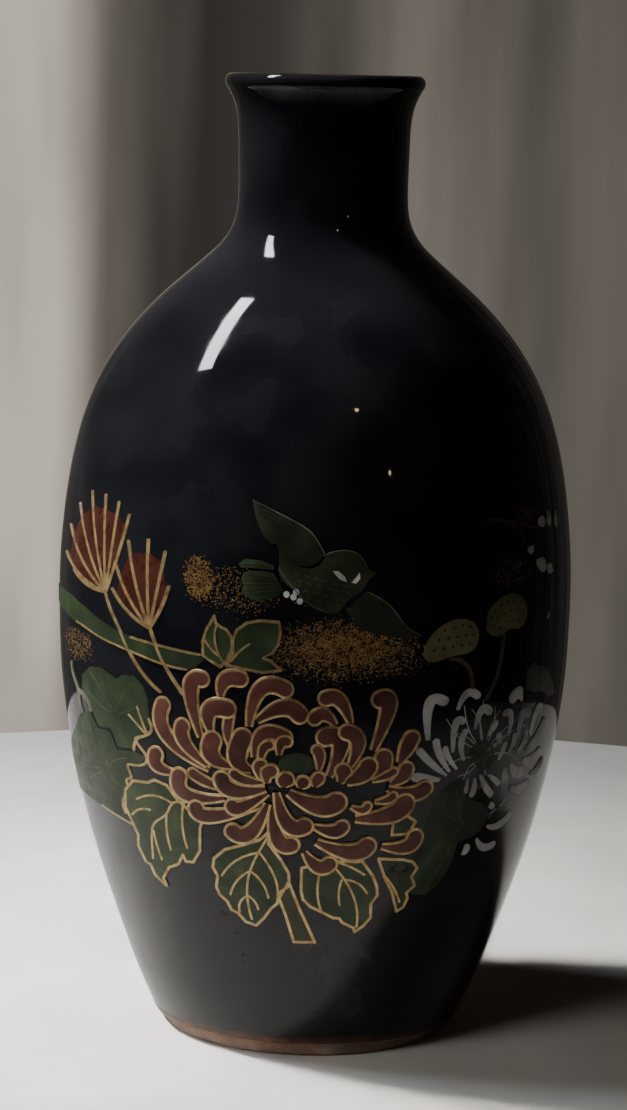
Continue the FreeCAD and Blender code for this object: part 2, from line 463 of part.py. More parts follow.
# White chrysanthemum, right: petals in any order, not overlapping.
WHITE_PETALS = [
    ((-22.6, 56.7), (-24.4, 65.3), (-20.9, 62.9), 1.6), ((-18.4, 61.2), (-17.2, 65.2), (-15.0, 63.2), 1.3),
    ((-14.7, 57.6), (-14.2, 62.2), (-12.2, 60.3), 1.4), ((-18.2, 54.2), (-19.2, 60.6), (-17.3, 59.3), 1.2),
    ((-15.9, 52.6), (-17.6, 55.4), (-16.5, 57.4), 1.0), ((-18.2, 51), (-20.8, 54), (-21.3, 56.3), 1.0),
    ((-17.0, 51.3), (-19.2, 53.5), (-19.6, 55.0), 0.8), ((-18.6, 50.4), (-21.5, 52.4), (-23.6, 55.0), 1.0),
    ((-19.6, 49.8), (-22, 50.1), (-23.3, 50.6), 1.5), ((-6.8, 55.4), (-6, 60), (-8.3, 59.4), 1.2),
    ((-9.1, 53.6), (-8.7, 55.0), (-9.2, 55.8), 1.1), ((-11.8, 56.1), (-10.6, 57.6), (-10.4, 58.0), 1.1),
    ((-4.5, 60.7), (-4.5, 63.5), (-6.8, 61.8), 2.0), ((-4.3, 54.8), (-4.2, 59.8), (-2.0, 58.5), 1.7),
    ((-0.1, 54.4), (0.3, 59.6), (2.5, 58.4), 1.8), ((-1, 52.1), (3, 53.3), (4.6, 55.8), 1.8),
    ((-3.8, 51.9), (-1.6, 53.2), (-1.6, 55.2), 1.1), ((-6.1, 52.5), (-4.8, 54), (-5.2, 55.3), 0.9),
    ((-8.5, 51.6), (-7.6, 53.0), (-7.4, 54.0), 1.0), ((-13.1, 49.2), (-12.6, 47.5), (-12.9, 46.5), 1.1),
    ((-12.0, 49.6), (-10.6, 47.4), (-8.6, 45.8), 1.1), ((-14.4, 49.3), (-14.6, 48.2), (-14.4, 47.2), 0.8),
    ((-10.2, 49.4), (-8.2, 48.2), (-7.2, 47.4), 0.9), ((-7.0, 50.0), (-5.6, 48.6), (-5.6, 46.9), 1.5),
    ((-4.9, 50.2), (-3, 48.2), (-1.4, 48.3), 1.9), ((-1.2, 50.4), (2, 49.3), (4.6, 50.6), 2.0),
    ((-3.6, 46.2), (-1, 44.6), (2.2, 45.6), 1.9), ((2.6, 47.4), (5.5, 46.6), (6.8, 48.6), 1.8),
    ((-7.6, 40.2), (-4.5, 38.9), (-2, 41), 1.4), ((-9.4, 38.3), (-7.5, 35.6), (-4.6, 36.4), 1.3),
    ((-8.9, 44.4), (-8.1, 43.9), (-7.5, 43.6), 1.0), ((-12.3, 36.9), (-11.8, 36.8), (-11.4, 36.8), 1.9)]
WHITE_EYE = [(-14.9, 54.4), (-13.6, 55.6), (-11.4, 55.2), (-10.0, 53.6), (-9.8, 51.6), (-10.6, 50.4),
             (-12.2, 50.6), (-13.6, 51.6), (-14.6, 52.8)]

# Plum twig with white petals, right.
PLUM_TWIGS = [[(-13, 90.9), (-10, 90.7), (-7, 90.2), (-4.6, 89.6), (-1.0, 88.6)],
              [(-9.8, 90.5), (-7, 89.6), (-5.4, 88.4), (-4.8, 87.4), (-4.3, 86.6)]]
PLUM_PETALS = [((1.0, 87.4), (0.2, 89.6), (1.4, 89.4), 1.9), ((1.9, 90.2), (3.6, 90.5), (3.9, 89.4), 1.9),
               ((-3.1, 86.6), (-2.9, 85.9), (-2.9, 85.5), 1.7), ((0.2, 84.9), (-1.2, 83.4), (0.9, 82.4), 2.2),
               ((5.0, 82.4), (4.2, 81.4), (3.2, 81.6), 1.7), ((5.6, 90.2), (7, 90.2), (7.2, 88.6), 1.6),
               ((2.2, 74.5), (2.5, 74.2), (2.8, 74.1), 1.2)]
PLUM_BUD = (-3.4, 91.0, 1.4)

# Gold dust clouds on the front: middle, half-width, half-height, number of flakes.
CLOUDS = [((-18.1, 81.8), 1.9, 3.0, 46), ((4.0, 71.6), 9.5, 4.4, 150), ((-12.5, 80.5), 3.8, 2.4, 24)]


def red_areas(grow):
    """Flat faces of the red petals, back to front, widened or narrowed."""
    return [petal(*one, grow=grow) for one in RED_PETALS]


def red_chrysanthemum():
    """Petal fields and gold lines, each petal painted over the ones before it."""
    wide = red_areas(GOLD_LINE / 2)
    narrow = red_areas(-GOLD_LINE / 2)
    fields = [less(narrow[i], wide[i + 1:]) for i in range(len(narrow))]
    eye = less(flat(curve_points(RED_EYE, closed=True)), wide)
    shown = Part.makeCompound([f for field in fields for f in field.Faces])
    lines = joined(wide).cut(shown).cut(eye)
    return shown, lines, eye, joined(wide)


def leaf_parts(leaf, above):
    """Green field and gold lines of one leaf, without what lies under the motifs above it."""
    rim, veins = leaf
    area = flat(rim)
    lines = joined([band(area, GOLD_LINE)] + [brush(curve_points(v), GOLD_LINE * 0.8) for v in veins])
    return less(less(area, [lines]), above), less(lines, above)


def fan(parts):
    """Red wash, ribs and stem of one fan blossom."""
    foot, tips, stem = parts
    ribs = []
    for i, tip in enumerate(tips):
        bow = 0.08 * (i - (len(tips) - 1) / 2)
        middle = ((foot[0] + tip[0]) / 2 + bow, (foot[1] + tip[1]) / 2 - 0.6)
        ribs.append(brush(curve_points([foot, middle, tip], pieces=4), GOLD_LINE))
    rim = [(foot[0] + 0.86 * (t[0] - foot[0]), foot[1] + 0.86 * (t[1] - foot[1])) for t in tips]
    wash = flat([foot] + rim)
    lines = joined(ribs + [brush(curve_points(stem), GOLD_LINE)])
    return less(wash, [lines]), lines


def dust():
    """Gold flakes scattered over the cloud patches, thickest in the middle."""
    random.seed(11)
    flakes = []
    for (across, height), wide, high, count in CLOUDS:
        for _ in range(count):
            turn = random.uniform(0, 2 * math.pi)
            reach = math.sqrt(random.random())
            spot = (across + wide * reach * math.cos(turn), height + high * reach * math.sin(turn))
            size = random.uniform(0.14, 0.3)
            lean = random.uniform(0, math.pi)
            corners = []
            for k in range(4):
                angle = lean + k * math.pi / 2 + random.uniform(-0.3, 0.3)
                corners.append((spot[0] + size * math.cos(angle), spot[1] + size * math.sin(angle)))
            flakes.append((spot, flat(corners)))
    return flakes


def apart(flakes, gap, keep_out):
    """Flakes that stay clear of each other and of the given faces."""
    kept = []
    for spot, face in flakes:
        if any(math.dist(spot, other) < gap for other, _ in kept):
            continue
        if face.distToShape(keep_out)[0] > 0.05:
            kept.append((spot, face))
    return [face for _, face in kept]


def save(name, solids):
    """One STEP file for one node."""
    shape = solids[0] if len(solids) == 1 else Part.makeCompound(solids)
    shape.exportStep(os.path.join("parts", name + ".step"))


def paint_front():
    """Red chrysanthemum with its leaves and stem; returns prisms that hide what lies behind."""
    fields, lines, eye, flower = red_chrysanthemum()
    save("red_petals", fired(fields, FRONT, ENAMEL))
    save("red_petal_lines", fired(lines, FRONT, GOLD))
    save("red_flower_eye", fired(eye, FRONT, ENAMEL))
    rims = [flat(rim).makeOffset2D(GOLD_LINE / 2) for rim, _ in FRONT_LEAVES]
    greens = []
    golds = []
    for i, leaf in enumerate(FRONT_LEAVES):
        green, gold = leaf_parts(leaf, [flower] + rims[i + 1:])
        greens.append(green)
        golds.append(gold)
    stalk, stalk_lines = leaf_parts((STEM, []), [flower] + rims)
    save("front_leaves", fired(Part.makeCompound(greens), FRONT, ENAMEL))
    save("front_leaf_lines", fired(Part.makeCompound(golds), FRONT, GOLD))
    save("flower_stem", fired(stalk, FRONT, ENAMEL))
    save("flower_stem_lines", fired(stalk_lines, FRONT, GOLD))
    return [flower] + rims


def behind(faces, plane):
    """Prisms of the faces, used to leave out what they hide."""
    return [prism for face in faces for prism in prisms(face, plane)]


def paint_left(front):
    """Grass blade, fan blossoms and broad leaves on the left."""
    hidden = behind(front, FRONT)
    wash_large, ribs_large = fan(FAN_LARGE)
    wash_small, ribs_small = fan(FAN_SMALL)
    ribs = joined([ribs_large, ribs_small])
    washes = [less(wash_large, [ribs, wash_small]), less(wash_small, [ribs])]
    save("fan_washes", fired(Part.makeCompound(washes), LEFT, WASH, hidden))
    save("fan_ribs", fired(ribs, LEFT, GOLD, hidden))
    edges = joined([brush(curve_points(stroke), GOLD_LINE * 0.8) for stroke in BLADE_LINES])
    edges = less(edges, [ribs, wash_small])
    save("grass_blade_lines", fired(edges, LEFT, GOLD, hidden))
    blade = less(flat(BLADE), [edges, ribs, wash_small])
    save("grass_blade", fired(blade, LEFT, ENAMEL, hidden))
    strokes = [LEFT_RIM, LEFT_RIM_LOW] + LEFT_VEINS
    rims = joined([brush(curve_points(stroke), GOLD_LINE * 0.8) for stroke in strokes])
    coral = joined([brush(curve_points(stroke), 0.8) for stroke in CORAL])
    high = flat(LEFT_LEAF_HIGH)
    low = less(flat(LEFT_LEAF_LOW), [high])
    save("left_leaf_lines", fired(less(rims, [ribs]), LEFT, GOLD, hidden))
    save("coral_sprig", fired(coral, LEFT, ENAMEL, hidden))
    save("left_leaf_high", fired(less(high, [rims, coral, ribs]), LEFT, ENAMEL, hidden))
    save("left_leaf_low", fired(less(low, [rims, coral]), LEFT, ENAMEL, hidden))


def paint_right(front):
    """Lotus pods, white chrysanthemum, plum twig and broad leaves on the right."""
    hidden = behind(front, FRONT)
    seeds = [disc(across, height, 0.27) for across, height in POD_SEEDS]
    pods = [less(flat(curve_points(rim, closed=True, pieces=2)), seeds) for rim in (POD_LOW, POD_HIGH)]
    stems = [less(brush(curve_points(stem), 0.7), pods) for stem in POD_STEMS]
    whites = [petal(*one) for one in WHITE_PETALS]
    whites = [less(one, whites[i + 1:]) for i, one in enumerate(whites)]
    eye = less(flat(curve_points(WHITE_EYE, closed=True, pieces=2)), whites)
    plums = [petal(*one) for one in PLUM_PETALS]
    twigs = [less(brush(curve_points(twig), 0.5), plums) for twig in PLUM_TWIGS]
    twigs = [twigs[0], less(twigs[1], [twigs[0]])]
    bud = less(disc(*PLUM_BUD), twigs)
    leaves = [less(flat(rim), whites + [eye] + stems) for rim in (RIGHT_LEAF_LOW, RIGHT_LEAF_HIGH)]
    save("lotus_pods", fired(Part.makeCompound(pods), RIGHT, ENAMEL, hidden))
    save("pod_seeds", fired(Part.makeCompound(seeds), RIGHT, WASH, hidden))
    save("pod_stems", fired(Part.makeCompound(stems), RIGHT, ENAMEL, hidden))
    save("white_petals", fired(Part.makeCompound(whites), RIGHT, ENAMEL, hidden))
    save("white_flower_eye", fired(eye, RIGHT, ENAMEL, hidden))
    save("plum_petals", fired(Part.makeCompound(plums), RIGHT, ENAMEL, hidden))
    save("plum_twigs", fired(Part.makeCompound(twigs + [bud]), RIGHT, ENAMEL, hidden))
    save("right_leaf_low", fired(leaves[0], RIGHT, ENAMEL, hidden))
    save("right_leaf_high", fired(leaves[1], RIGHT, ENAMEL, hidden))


def paint_bird(front):
    """Grey-green bird with pale marks and claws, over the gold dust clouds."""
    marks = [flat(rim) for rim in BIRD_MARKS]
    claws = joined([disc(across, height, 0.5) for across, height in BIRD_CLAWS])
    head = flat(curve_points(BIRD_BODY, closed=True, pieces=2))
    wings = [less(flat(rim), [head]) for rim in (BIRD_WING_HIGH, BIRD_WING_LOW)]
    tail = [less(flat(rim), [head]) for rim in BIRD_TAIL]
    plumage = [less(head, marks + [claws])] + [less(wing, [claws]) for wing in wings]
    save("bird_plumage", fired(Part.makeCompound(plumage), FRONT, ENAMEL))
    save("bird_tail", fired(Part.makeCompound(tail), FRONT, ENAMEL))
    save("bird_marks", fired(Part.makeCompound(marks + claws.Faces), FRONT, ENAMEL))
    keep_out = Part.makeCompound([head, claws] + wings + tail + front)
    save("gold_dust", fired(Part.makeCompound(apart(dust(), 0.6, keep_out)), FRONT, WASH))


os.makedirs("parts", exist_ok=True)
save("stoneware_body", [stoneware_body()])
save("black_glaze", [black_glaze()])
save("liner_glaze", [liner_glaze()])
save("base_glaze", [base_glaze()])
front_motifs = paint_front()
paint_left(front_motifs)
paint_right(front_motifs)
paint_bird(front_motifs)
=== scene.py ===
import math
import random

import bpy
import numpy as np
from mathutils import Matrix, Vector


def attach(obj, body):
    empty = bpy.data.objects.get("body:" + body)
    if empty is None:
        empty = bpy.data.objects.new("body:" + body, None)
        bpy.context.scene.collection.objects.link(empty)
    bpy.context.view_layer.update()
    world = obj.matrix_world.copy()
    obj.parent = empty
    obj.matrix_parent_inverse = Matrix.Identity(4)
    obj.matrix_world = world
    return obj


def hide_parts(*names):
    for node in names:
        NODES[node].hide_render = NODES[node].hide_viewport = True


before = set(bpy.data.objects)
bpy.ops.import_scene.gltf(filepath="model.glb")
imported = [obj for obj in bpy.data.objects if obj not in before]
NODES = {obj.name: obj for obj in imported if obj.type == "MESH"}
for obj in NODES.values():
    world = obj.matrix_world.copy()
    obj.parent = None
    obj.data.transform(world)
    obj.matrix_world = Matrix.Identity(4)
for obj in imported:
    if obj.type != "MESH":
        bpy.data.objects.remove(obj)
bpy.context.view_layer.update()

# Looks of the sake bottle: high-detail glaze and foot, painted enamels, gold dust, soft light.
# Lengths on the bottle are written in millimetres and multiplied by MM where a mesh is made.
# Materials, lights, camera and floor use metres. Named angles are in degrees.
MM = 0.001
random.seed(5)

# Neck bore of the outer glaze: radius, top and foot, and the rings between them.
BORE = 10.8
BORE_TOP = 155.0
BORE_FOOT = 136.0
BORE_RINGS = 20

# Points round the bottle.
AROUND = 288
LINER_AROUND = 160

# Heights of the brushwork above the glaze.
ON_ENAMEL = 0.17
ON_GLAZE = 0.1
PETAL_LIFT = 0.18
PETAL_GAP = 0.006

# Points along a petal and round its tip, and corners of a gold flake.
PETAL_STEPS = 26
TIP_STEPS = 8
FLAKE_CORNERS = 5

# Cross-section of a brush stroke: share of the half-width, share of the height.
STROKE = ((-1, 0.0), (-0.55, 0.7), (0, 1.0), (0.55, 0.7), (1, 0.0))
STROKE_HEIGHT = 0.06

# Camera place, turn, tilt from straight down, roll and lens, and the height that the lights face.
CAMERA_AWAY = 0.507455
CAMERA_HEIGHT = 0.16
CAMERA_TURN, CAMERA_TILT, CAMERA_ROLL = 0.041, 81.02, 1.2
CAMERA_LENS = 98.72
AIM_HEIGHT = 0.09

# Floor disc.
FLOOR_RADIUS = 0.23
FLOOR_SIDES = 96

# Outer glaze outline as in the CAD: radius, height.
OUTER = [(26.55, 2.9), (28.8, 8), (31.45, 15), (33.9, 22), (36.5, 30), (38.7, 38), (40.5, 46),
         (41.85, 54), (42.7, 62), (43.0, 70), (43.0, 78), (42.45, 86), (41.4, 94), (39.6, 102),
         (36.55, 110), (32.95, 116), (29.75, 120), (25.85, 124), (22.45, 127), (19.0, 130),
         (16.1, 133), (14.6, 136), (14.05, 140), (14.1, 146), (14.3, 152), (14.85, 155),
         (16.0, 157.5)]
LIP = [(16.0, 157.5), (16.4, 158.15), (16.5, 158.75), (16.3, 159.4), (15.85, 159.85), (15.3, 160.0)]
LIP_SLOPE = [(15.3, 160.0), (13.5, 159.4), (11.6, 157.6), (10.8, 155.0)]
HOLLOW = [(10.8, 136.0), (11.55, 132.4), (14.9, 128.1), (21.6, 122.7), (27.75, 116.95),
          (32.5, 110.5), (35.77, 102.4), (37.76, 94), (38.85, 85), (39.25, 76), (38.95, 66),
          (38.05, 56), (36.55, 46.5), (34.56, 37.5), (31.97, 28.6), (29.3, 21.1), (27.1, 15.7),
          (24.3, 11.8), (19.4, 8.95), (10, 7.35), (0.01, 7.35)]
FOOT = [(18.8, 2.7), (19.3, 2.68), (19.85, 2.45), (20.15, 1.9), (20.4, 1.2), (20.55, 0.65),
        (20.85, 0.18), (21.3, 0.0), (22.6, 0.0), (23.9, 0.0), (24.45, 0.13), (24.85, 0.45),
        (25.15, 0.95), (25.6, 1.7), (26.0, 2.4), (26.25, 2.9), (26.5, 3.6)]


# ---- small helpers ----

def spline(points, step):
    """Points every step along the smooth curve through the given points."""
    points = np.array(points, float)
    reach = np.r_[0, np.cumsum(np.hypot(*np.diff(points, axis=0).T))]
    count = len(points)
    gap = np.diff(reach)
    rows = np.zeros((count, count))
    right = np.zeros((count, 2))
    rows[0, 0] = rows[-1, -1] = 1
    for i in range(1, count - 1):
        rows[i, i - 1] = gap[i - 1]
        rows[i, i] = 2 * (gap[i - 1] + gap[i])
        rows[i, i + 1] = gap[i]
        slope = (points[i + 1] - points[i]) / gap[i] - (points[i] - points[i - 1]) / gap[i - 1]
        right[i] = 6 * slope
    bend = np.linalg.solve(rows, right)
    found = []
    for where in np.linspace(0, reach[-1], max(2, int(reach[-1] / step) + 1)):
        i = min(count - 2, int(np.searchsorted(reach, where, side="right")) - 1)
        a = (reach[i + 1] - where) / gap[i]
        b = 1 - a
        curve = ((a ** 3 - a) * bend[i] + (b ** 3 - b) * bend[i + 1]) * gap[i] ** 2 / 6
        found.append(a * points[i] + b * points[i + 1] + curve)
    return np.array(found)


WALL = spline(OUTER, 0.1)


def wall_radius(height):
    """Outer radius of the wall at a height."""
    return np.interp(height, WALL[:, 1], WALL[:, 0])


def on_wall(plane, across, height, lift):
    """Point on the wall below a flat drawing (across, height), raised by lift."""
    radius = float(wall_radius(height))
    azimuth = math.radians(plane) + math.asin(max(-0.999, min(0.999, across / radius)))
    slope = float(wall_radius(height + 0.3) - wall_radius(height - 0.3)) / 0.6
    out = Vector((math.sin(azimuth), -math.cos(azimuth), -slope)).normalized()
    place = Vector((radius * math.sin(azimuth), -radius * math.cos(azimuth), height))
    return (place + out * lift) * MM


def make(name, points, faces, material):
    """Mesh object riding on the bottle."""
    mesh = bpy.data.meshes.new(name)
    mesh.from_pydata([tuple(p) for p in points], [], faces)
    mesh.materials.append(material)
    mesh.validate()
    mesh.shade_smooth()
    thing = bpy.data.objects.new(name, mesh)
    bpy.context.scene.collection.objects.link(thing)
    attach(thing, "root")
    return thing


def turned(name, outline, segments, material, wave=None):
    """Full turn of an outline; wave(angle, radius, height) gives a small outward and upward shift."""
    points = []
    for radius, height in outline:
        for k in range(segments):
            angle = 2 * math.pi * k / segments
            out, up = wave(angle, radius, height) if wave else (0.0, 0.0)
            points.append(((radius + out) * math.cos(angle) * MM, (radius + out) * math.sin(angle) * MM,
                           (height + up) * MM))
    faces = []
    for ring in range(len(outline) - 1):
        for k in range(segments):
            a = ring * segments + k
            b = ring * segments + (k + 1) % segments
            faces.append((a, b, b + segments, a + segments))
    return make(name, points, faces, material)


# ---- materials ----

class Shader:
    """Node material with a Principled surface and helpers for procedural detail."""

    def __init__(self, name, roughness):
        self.material = bpy.data.materials.new(name)
        self.material.use_nodes = True
        self.nodes = self.material.node_tree.nodes
        self.links = self.material.node_tree.links
        self.surface = self.nodes["Principled BSDF"]
        self.surface.inputs["Roughness"].default_value = roughness
        self.surface.inputs["IOR"].default_value = 1.5
        self.place = self.nodes.new("ShaderNodeTexCoord")

    def noise(self, scale, detail=4.0, stretch=(1, 1, 1), distortion=0.0):
        """Noise value over the object."""
        mapping = self.nodes.new("ShaderNodeMapping")
        mapping.inputs["Scale"].default_value = stretch
        self.links.new(self.place.outputs["Object"], mapping.inputs["Vector"])
        noise = self.nodes.new("ShaderNodeTexNoise")
        noise.inputs["Scale"].default_value = scale
        noise.inputs["Detail"].default_value = detail
        noise.inputs["Distortion"].default_value = distortion
        self.links.new(mapping.outputs["Vector"], noise.inputs["Vector"])
        return noise.outputs["Fac"]

    def ramp(self, value, stops):
        """Colour looked up from a value."""
        ramp = self.nodes.new("ShaderNodeValToRGB")
        band = ramp.color_ramp
        while len(band.elements) < len(stops):
            band.elements.new(0.5)
        for element, (spot, colour) in zip(band.elements, stops):
            element.position = spot
            element.color = (*colour, 1)
        self.links.new(value, ramp.inputs["Fac"])
        return ramp.outputs["Color"]

    def mix(self, share, first, second, mode="MIX"):
        """Blend of two colours or sockets."""
        mix = self.nodes.new("ShaderNodeMix")
        mix.data_type = "RGBA"
        mix.blend_type = mode
        sockets = [s for s in mix.inputs if s.enabled and s.type in ("RGBA", "VALUE")]
        factor, one, two = sockets[0], sockets[-2], sockets[-1]
        for socket, value in ((factor, share), (one, first), (two, second)):
            if isinstance(value, bpy.types.NodeSocket):
                self.links.new(value, socket)
            elif isinstance(value, (int, float)):
                socket.default_value = value
            else:
                socket.default_value = (*value, 1)
        return next(s for s in mix.outputs if s.enabled and s.type == "RGBA")

    def span(self, value, low, high, to_low, to_high):
        """Value carried from one range to another."""
        span = self.nodes.new("ShaderNodeMapRange")
        ends = {"From Min": low, "From Max": high, "To Min": to_low, "To Max": to_high}
        for name, number in ends.items():
            span.inputs[name].default_value = number
        self.links.new(value, span.inputs["Value"])
        return span.outputs["Result"]

    def colour(self, value):
        """Base colour of the surface."""
        self.links.new(value, self.surface.inputs["Base Color"])

    def rough(self, value):
        """Roughness of the surface."""
        self.links.new(value, self.surface.inputs["Roughness"])

    def bump(self, value, strength, distance):
        """Small relief in the surface normal."""
        bump = self.nodes.new("ShaderNodeBump")
        bump.inputs["Strength"].default_value = strength
        bump.inputs["Distance"].default_value = distance
        self.links.new(value, bump.inputs["Height"])
        self.links.new(bump.outputs["Normal"], self.surface.inputs["Normal"])

    def along(self, axis):
        """Coordinate on the object along X, Y or Z, in metres."""
        split = self.nodes.new("ShaderNodeSeparateXYZ")
        self.links.new(self.place.outputs["Object"], split.inputs["Vector"])
        return split.outputs[axis]

    def reach(self):
        """Distance from the origin of the object, in metres."""
        length = self.nodes.new("ShaderNodeVectorMath")
        length.operation = "LENGTH"
        self.links.new(self.place.outputs["Object"], length.inputs[0])
        return length.outputs["Value"]

    def island(self):
        """Random value for each separate painted field."""
        return self.nodes.new("ShaderNodeNewGeometry").outputs["Random Per Island"]


def black_glaze():
    """Deep glossy black, faintly blue, thinning to brown on the rim of the lip and at the foot."""
    s = Shader("black_glaze", 0.05)
    s.surface.inputs["Specular IOR Level"].default_value = 0.20
    deep = s.ramp(s.noise(90, 5), [(0.35, (0.0030, 0.0033, 0.0045)), (0.7, (0.0075, 0.0078, 0.0095))])
    lip = s.span(s.along("Z"), 0.1588, 0.1599, 0.0, 0.06)
    foot = s.span(s.along("Z"), 0.0045, 0.0027, 0.0, 0.9)
    brown = s.ramp(s.noise(400, 3), [(0.3, (0.030, 0.012, 0.006)), (0.7, (0.075, 0.034, 0.018))])
    s.colour(s.mix(foot, s.mix(lip, deep, brown), brown))
    s.rough(s.span(s.noise(240, 3), 0.3, 0.7, 0.025, 0.075))
    s.bump(s.noise(70, 2), 0.05, 0.0006)
    return s.material


def liner_glaze():
    """Dark brown-black liner with faint streaks."""
    s = Shader("liner_glaze", 0.12)
    streaks = s.noise(60, 4, (3, 3, 0.6))
    s.colour(s.ramp(streaks, [(0.3, (0.006, 0.005, 0.005)), (0.7, (0.018, 0.013, 0.010))]))
    s.bump(s.noise(120, 2), 0.08, 0.0005)
    return s.material


def bare_clay():
    """Unglazed stoneware: pinkish brown, redder beside the glaze, gritty."""
    s = Shader("bare_clay", 0.85)
    base = s.ramp(s.noise(300, 6), [(0.3, (0.10, 0.062, 0.046)), (0.55, (0.18, 0.12, 0.095)),
                                    (0.75, (0.25, 0.18, 0.14))])
    flash = s.span(s.along("Z"), 0.0012, 0.0028, 0.0, 0.75)
    s.colour(s.mix(flash, base, (0.085, 0.036, 0.020)))
    s.bump(s.noise(1500, 4), 0.35, 0.0002)
    return s.material


def enamel(name, dark, middle, light, roughness=0.42):
    """Brushed overglaze enamel: mottled colour that also differs from field to field."""
    s = Shader(name, roughness)
    s.surface.inputs["Specular IOR Level"].default_value = 0.16
    body = s.ramp(s.noise(260, 5, distortion=0.4), [(0.30, dark), (0.52, middle), (0.74, light)])
    tone = s.ramp(s.island(), [(0.0, (0.80, 0.80, 0.80)), (1.0, (1.14, 1.12, 1.10))])
    s.colour(s.mix(1.0, body, tone, "MULTIPLY"))
    s.rough(s.span(s.noise(500, 3), 0.3, 0.7, roughness - 0.08, roughness + 0.1))
    s.bump(s.noise(1100, 3), 0.12, 0.0001)
    return s.material


def gold(name, dark, light, roughness=0.36, metal=0.75):
    """Fired liquid gold with worn and darker spots."""
    s = Shader(name, roughness)
    s.colour(s.ramp(s.noise(700, 4), [(0.28, dark), (0.62, light)]))
    s.surface.inputs["Metallic"].default_value = metal
    s.rough(s.span(s.noise(900, 3), 0.3, 0.7, roughness - 0.08, roughness + 0.12))
    s.bump(s.noise(1600, 2), 0.2, 0.0001)
    return s.material


GLAZE = black_glaze()
LINER = liner_glaze()
CLAY = bare_clay()
RED = enamel("red_enamel", (0.034, 0.011, 0.009), (0.056, 0.020, 0.015), (0.085, 0.034, 0.026))
GREEN = enamel("green_enamel", (0.009, 0.016, 0.008), (0.017, 0.028, 0.013), (0.032, 0.046, 0.022))
# Darker copy of the green enamel: painted shade for the left leaves, which the light from the left falls
# on strongly, and for the grass blade.
GREEN_PAINTED_SHADE = enamel("green_painted_shade", (0.006, 0.011, 0.005), (0.012, 0.020, 0.009), (0.022, 0.032, 0.014))
OLIVE = enamel("olive_enamel", (0.010, 0.012, 0.005), (0.019, 0.021, 0.009), (0.031, 0.032, 0.015))
WASH = enamel("red_wash", (0.016, 0.004, 0.003), (0.030, 0.009, 0.006), (0.050, 0.016, 0.011), 0.3)
WHITE = enamel("white_enamel", (0.22, 0.22, 0.22), (0.36, 0.36, 0.35), (0.50, 0.49, 0.47), 0.4)
POD = enamel("pod_enamel", (0.065, 0.062, 0.027), (0.105, 0.100, 0.046), (0.145, 0.135, 0.070))
DARK = enamel("dark_enamel", (0.008, 0.008, 0.006), (0.012, 0.012, 0.008), (0.020, 0.018, 0.012))
BROWN = enamel("brown_enamel", (0.036, 0.020, 0.012), (0.058, 0.034, 0.021), (0.085, 0.052, 0.034))
BIRD = enamel("bird_enamel", (0.009, 0.012, 0.007), (0.016, 0.019, 0.011), (0.027, 0.029, 0.019))
VEIN = enamel("leaf_vein", (0.022, 0.030, 0.014), (0.036, 0.046, 0.022), (0.055, 0.066, 0.034))
BIRD_PALE = enamel("bird_pale", (0.040, 0.046, 0.030), (0.065, 0.070, 0.047), (0.095, 0.100, 0.072))
GOLD = gold("gold_line", (0.20, 0.125, 0.052), (0.50, 0.36, 0.17))
FLAKE = gold("gold_flake", (0.20, 0.105, 0.032), (0.46, 0.285, 0.11), 0.32, 0.8)

# Material of each CAD piece.
PAINT = {
    "stoneware_body": CLAY, "black_glaze": GLAZE, "liner_glaze": LINER, "base_glaze": GLAZE,
    "red_petals": RED, "red_petal_lines": GOLD, "red_flower_eye": GREEN,
    "front_leaves": GREEN, "front_leaf_lines": GOLD, "flower_stem": OLIVE, "flower_stem_lines": GOLD,
    "fan_washes": WASH, "fan_ribs": GOLD, "grass_blade": GREEN_PAINTED_SHADE, "grass_blade_lines": GOLD,
    "left_leaf_lines": GOLD, "coral_sprig": BIRD_PALE, "left_leaf_high": GREEN_PAINTED_SHADE, "left_leaf_low": GREEN_PAINTED_SHADE,
    "lotus_pods": POD, "pod_seeds": DARK, "pod_stems": BROWN, "white_petals": WHITE,
    "white_flower_eye": OLIVE, "plum_petals": WHITE, "plum_twigs": BROWN,
    "right_leaf_low": GREEN, "right_leaf_high": GREEN, "bird_plumage": BIRD, "bird_tail": GREEN,
    "bird_marks": WHITE, "gold_dust": FLAKE}

# Gold dust clouds: drawing plane, middle, half-width, half-height, flakes, largest flake.
DUST = [(0, -18.2, 81.8, 2.2, 3.3, 620, 0.19), (0, -12.0, 80.4, 6.5, 3.4, 760, 0.14),
        (0, 4.0, 71.6, 10.5, 4.8, 2500, 0.16), (0, 4.0, 72.2, 7.0, 3.0, 1300, 0.18),
        (0, 13.0, 70.6, 5.0, 3.0, 420, 0.14), (-60, -3.0, 67.3, 5.5, 2.6, 560, 0.15),
        (58, -8.0, 82.4, 4.5, 2.6, 260, 0.13), (58, -4.0, 91.0, 2.6, 1.5, 130, 0.13)]

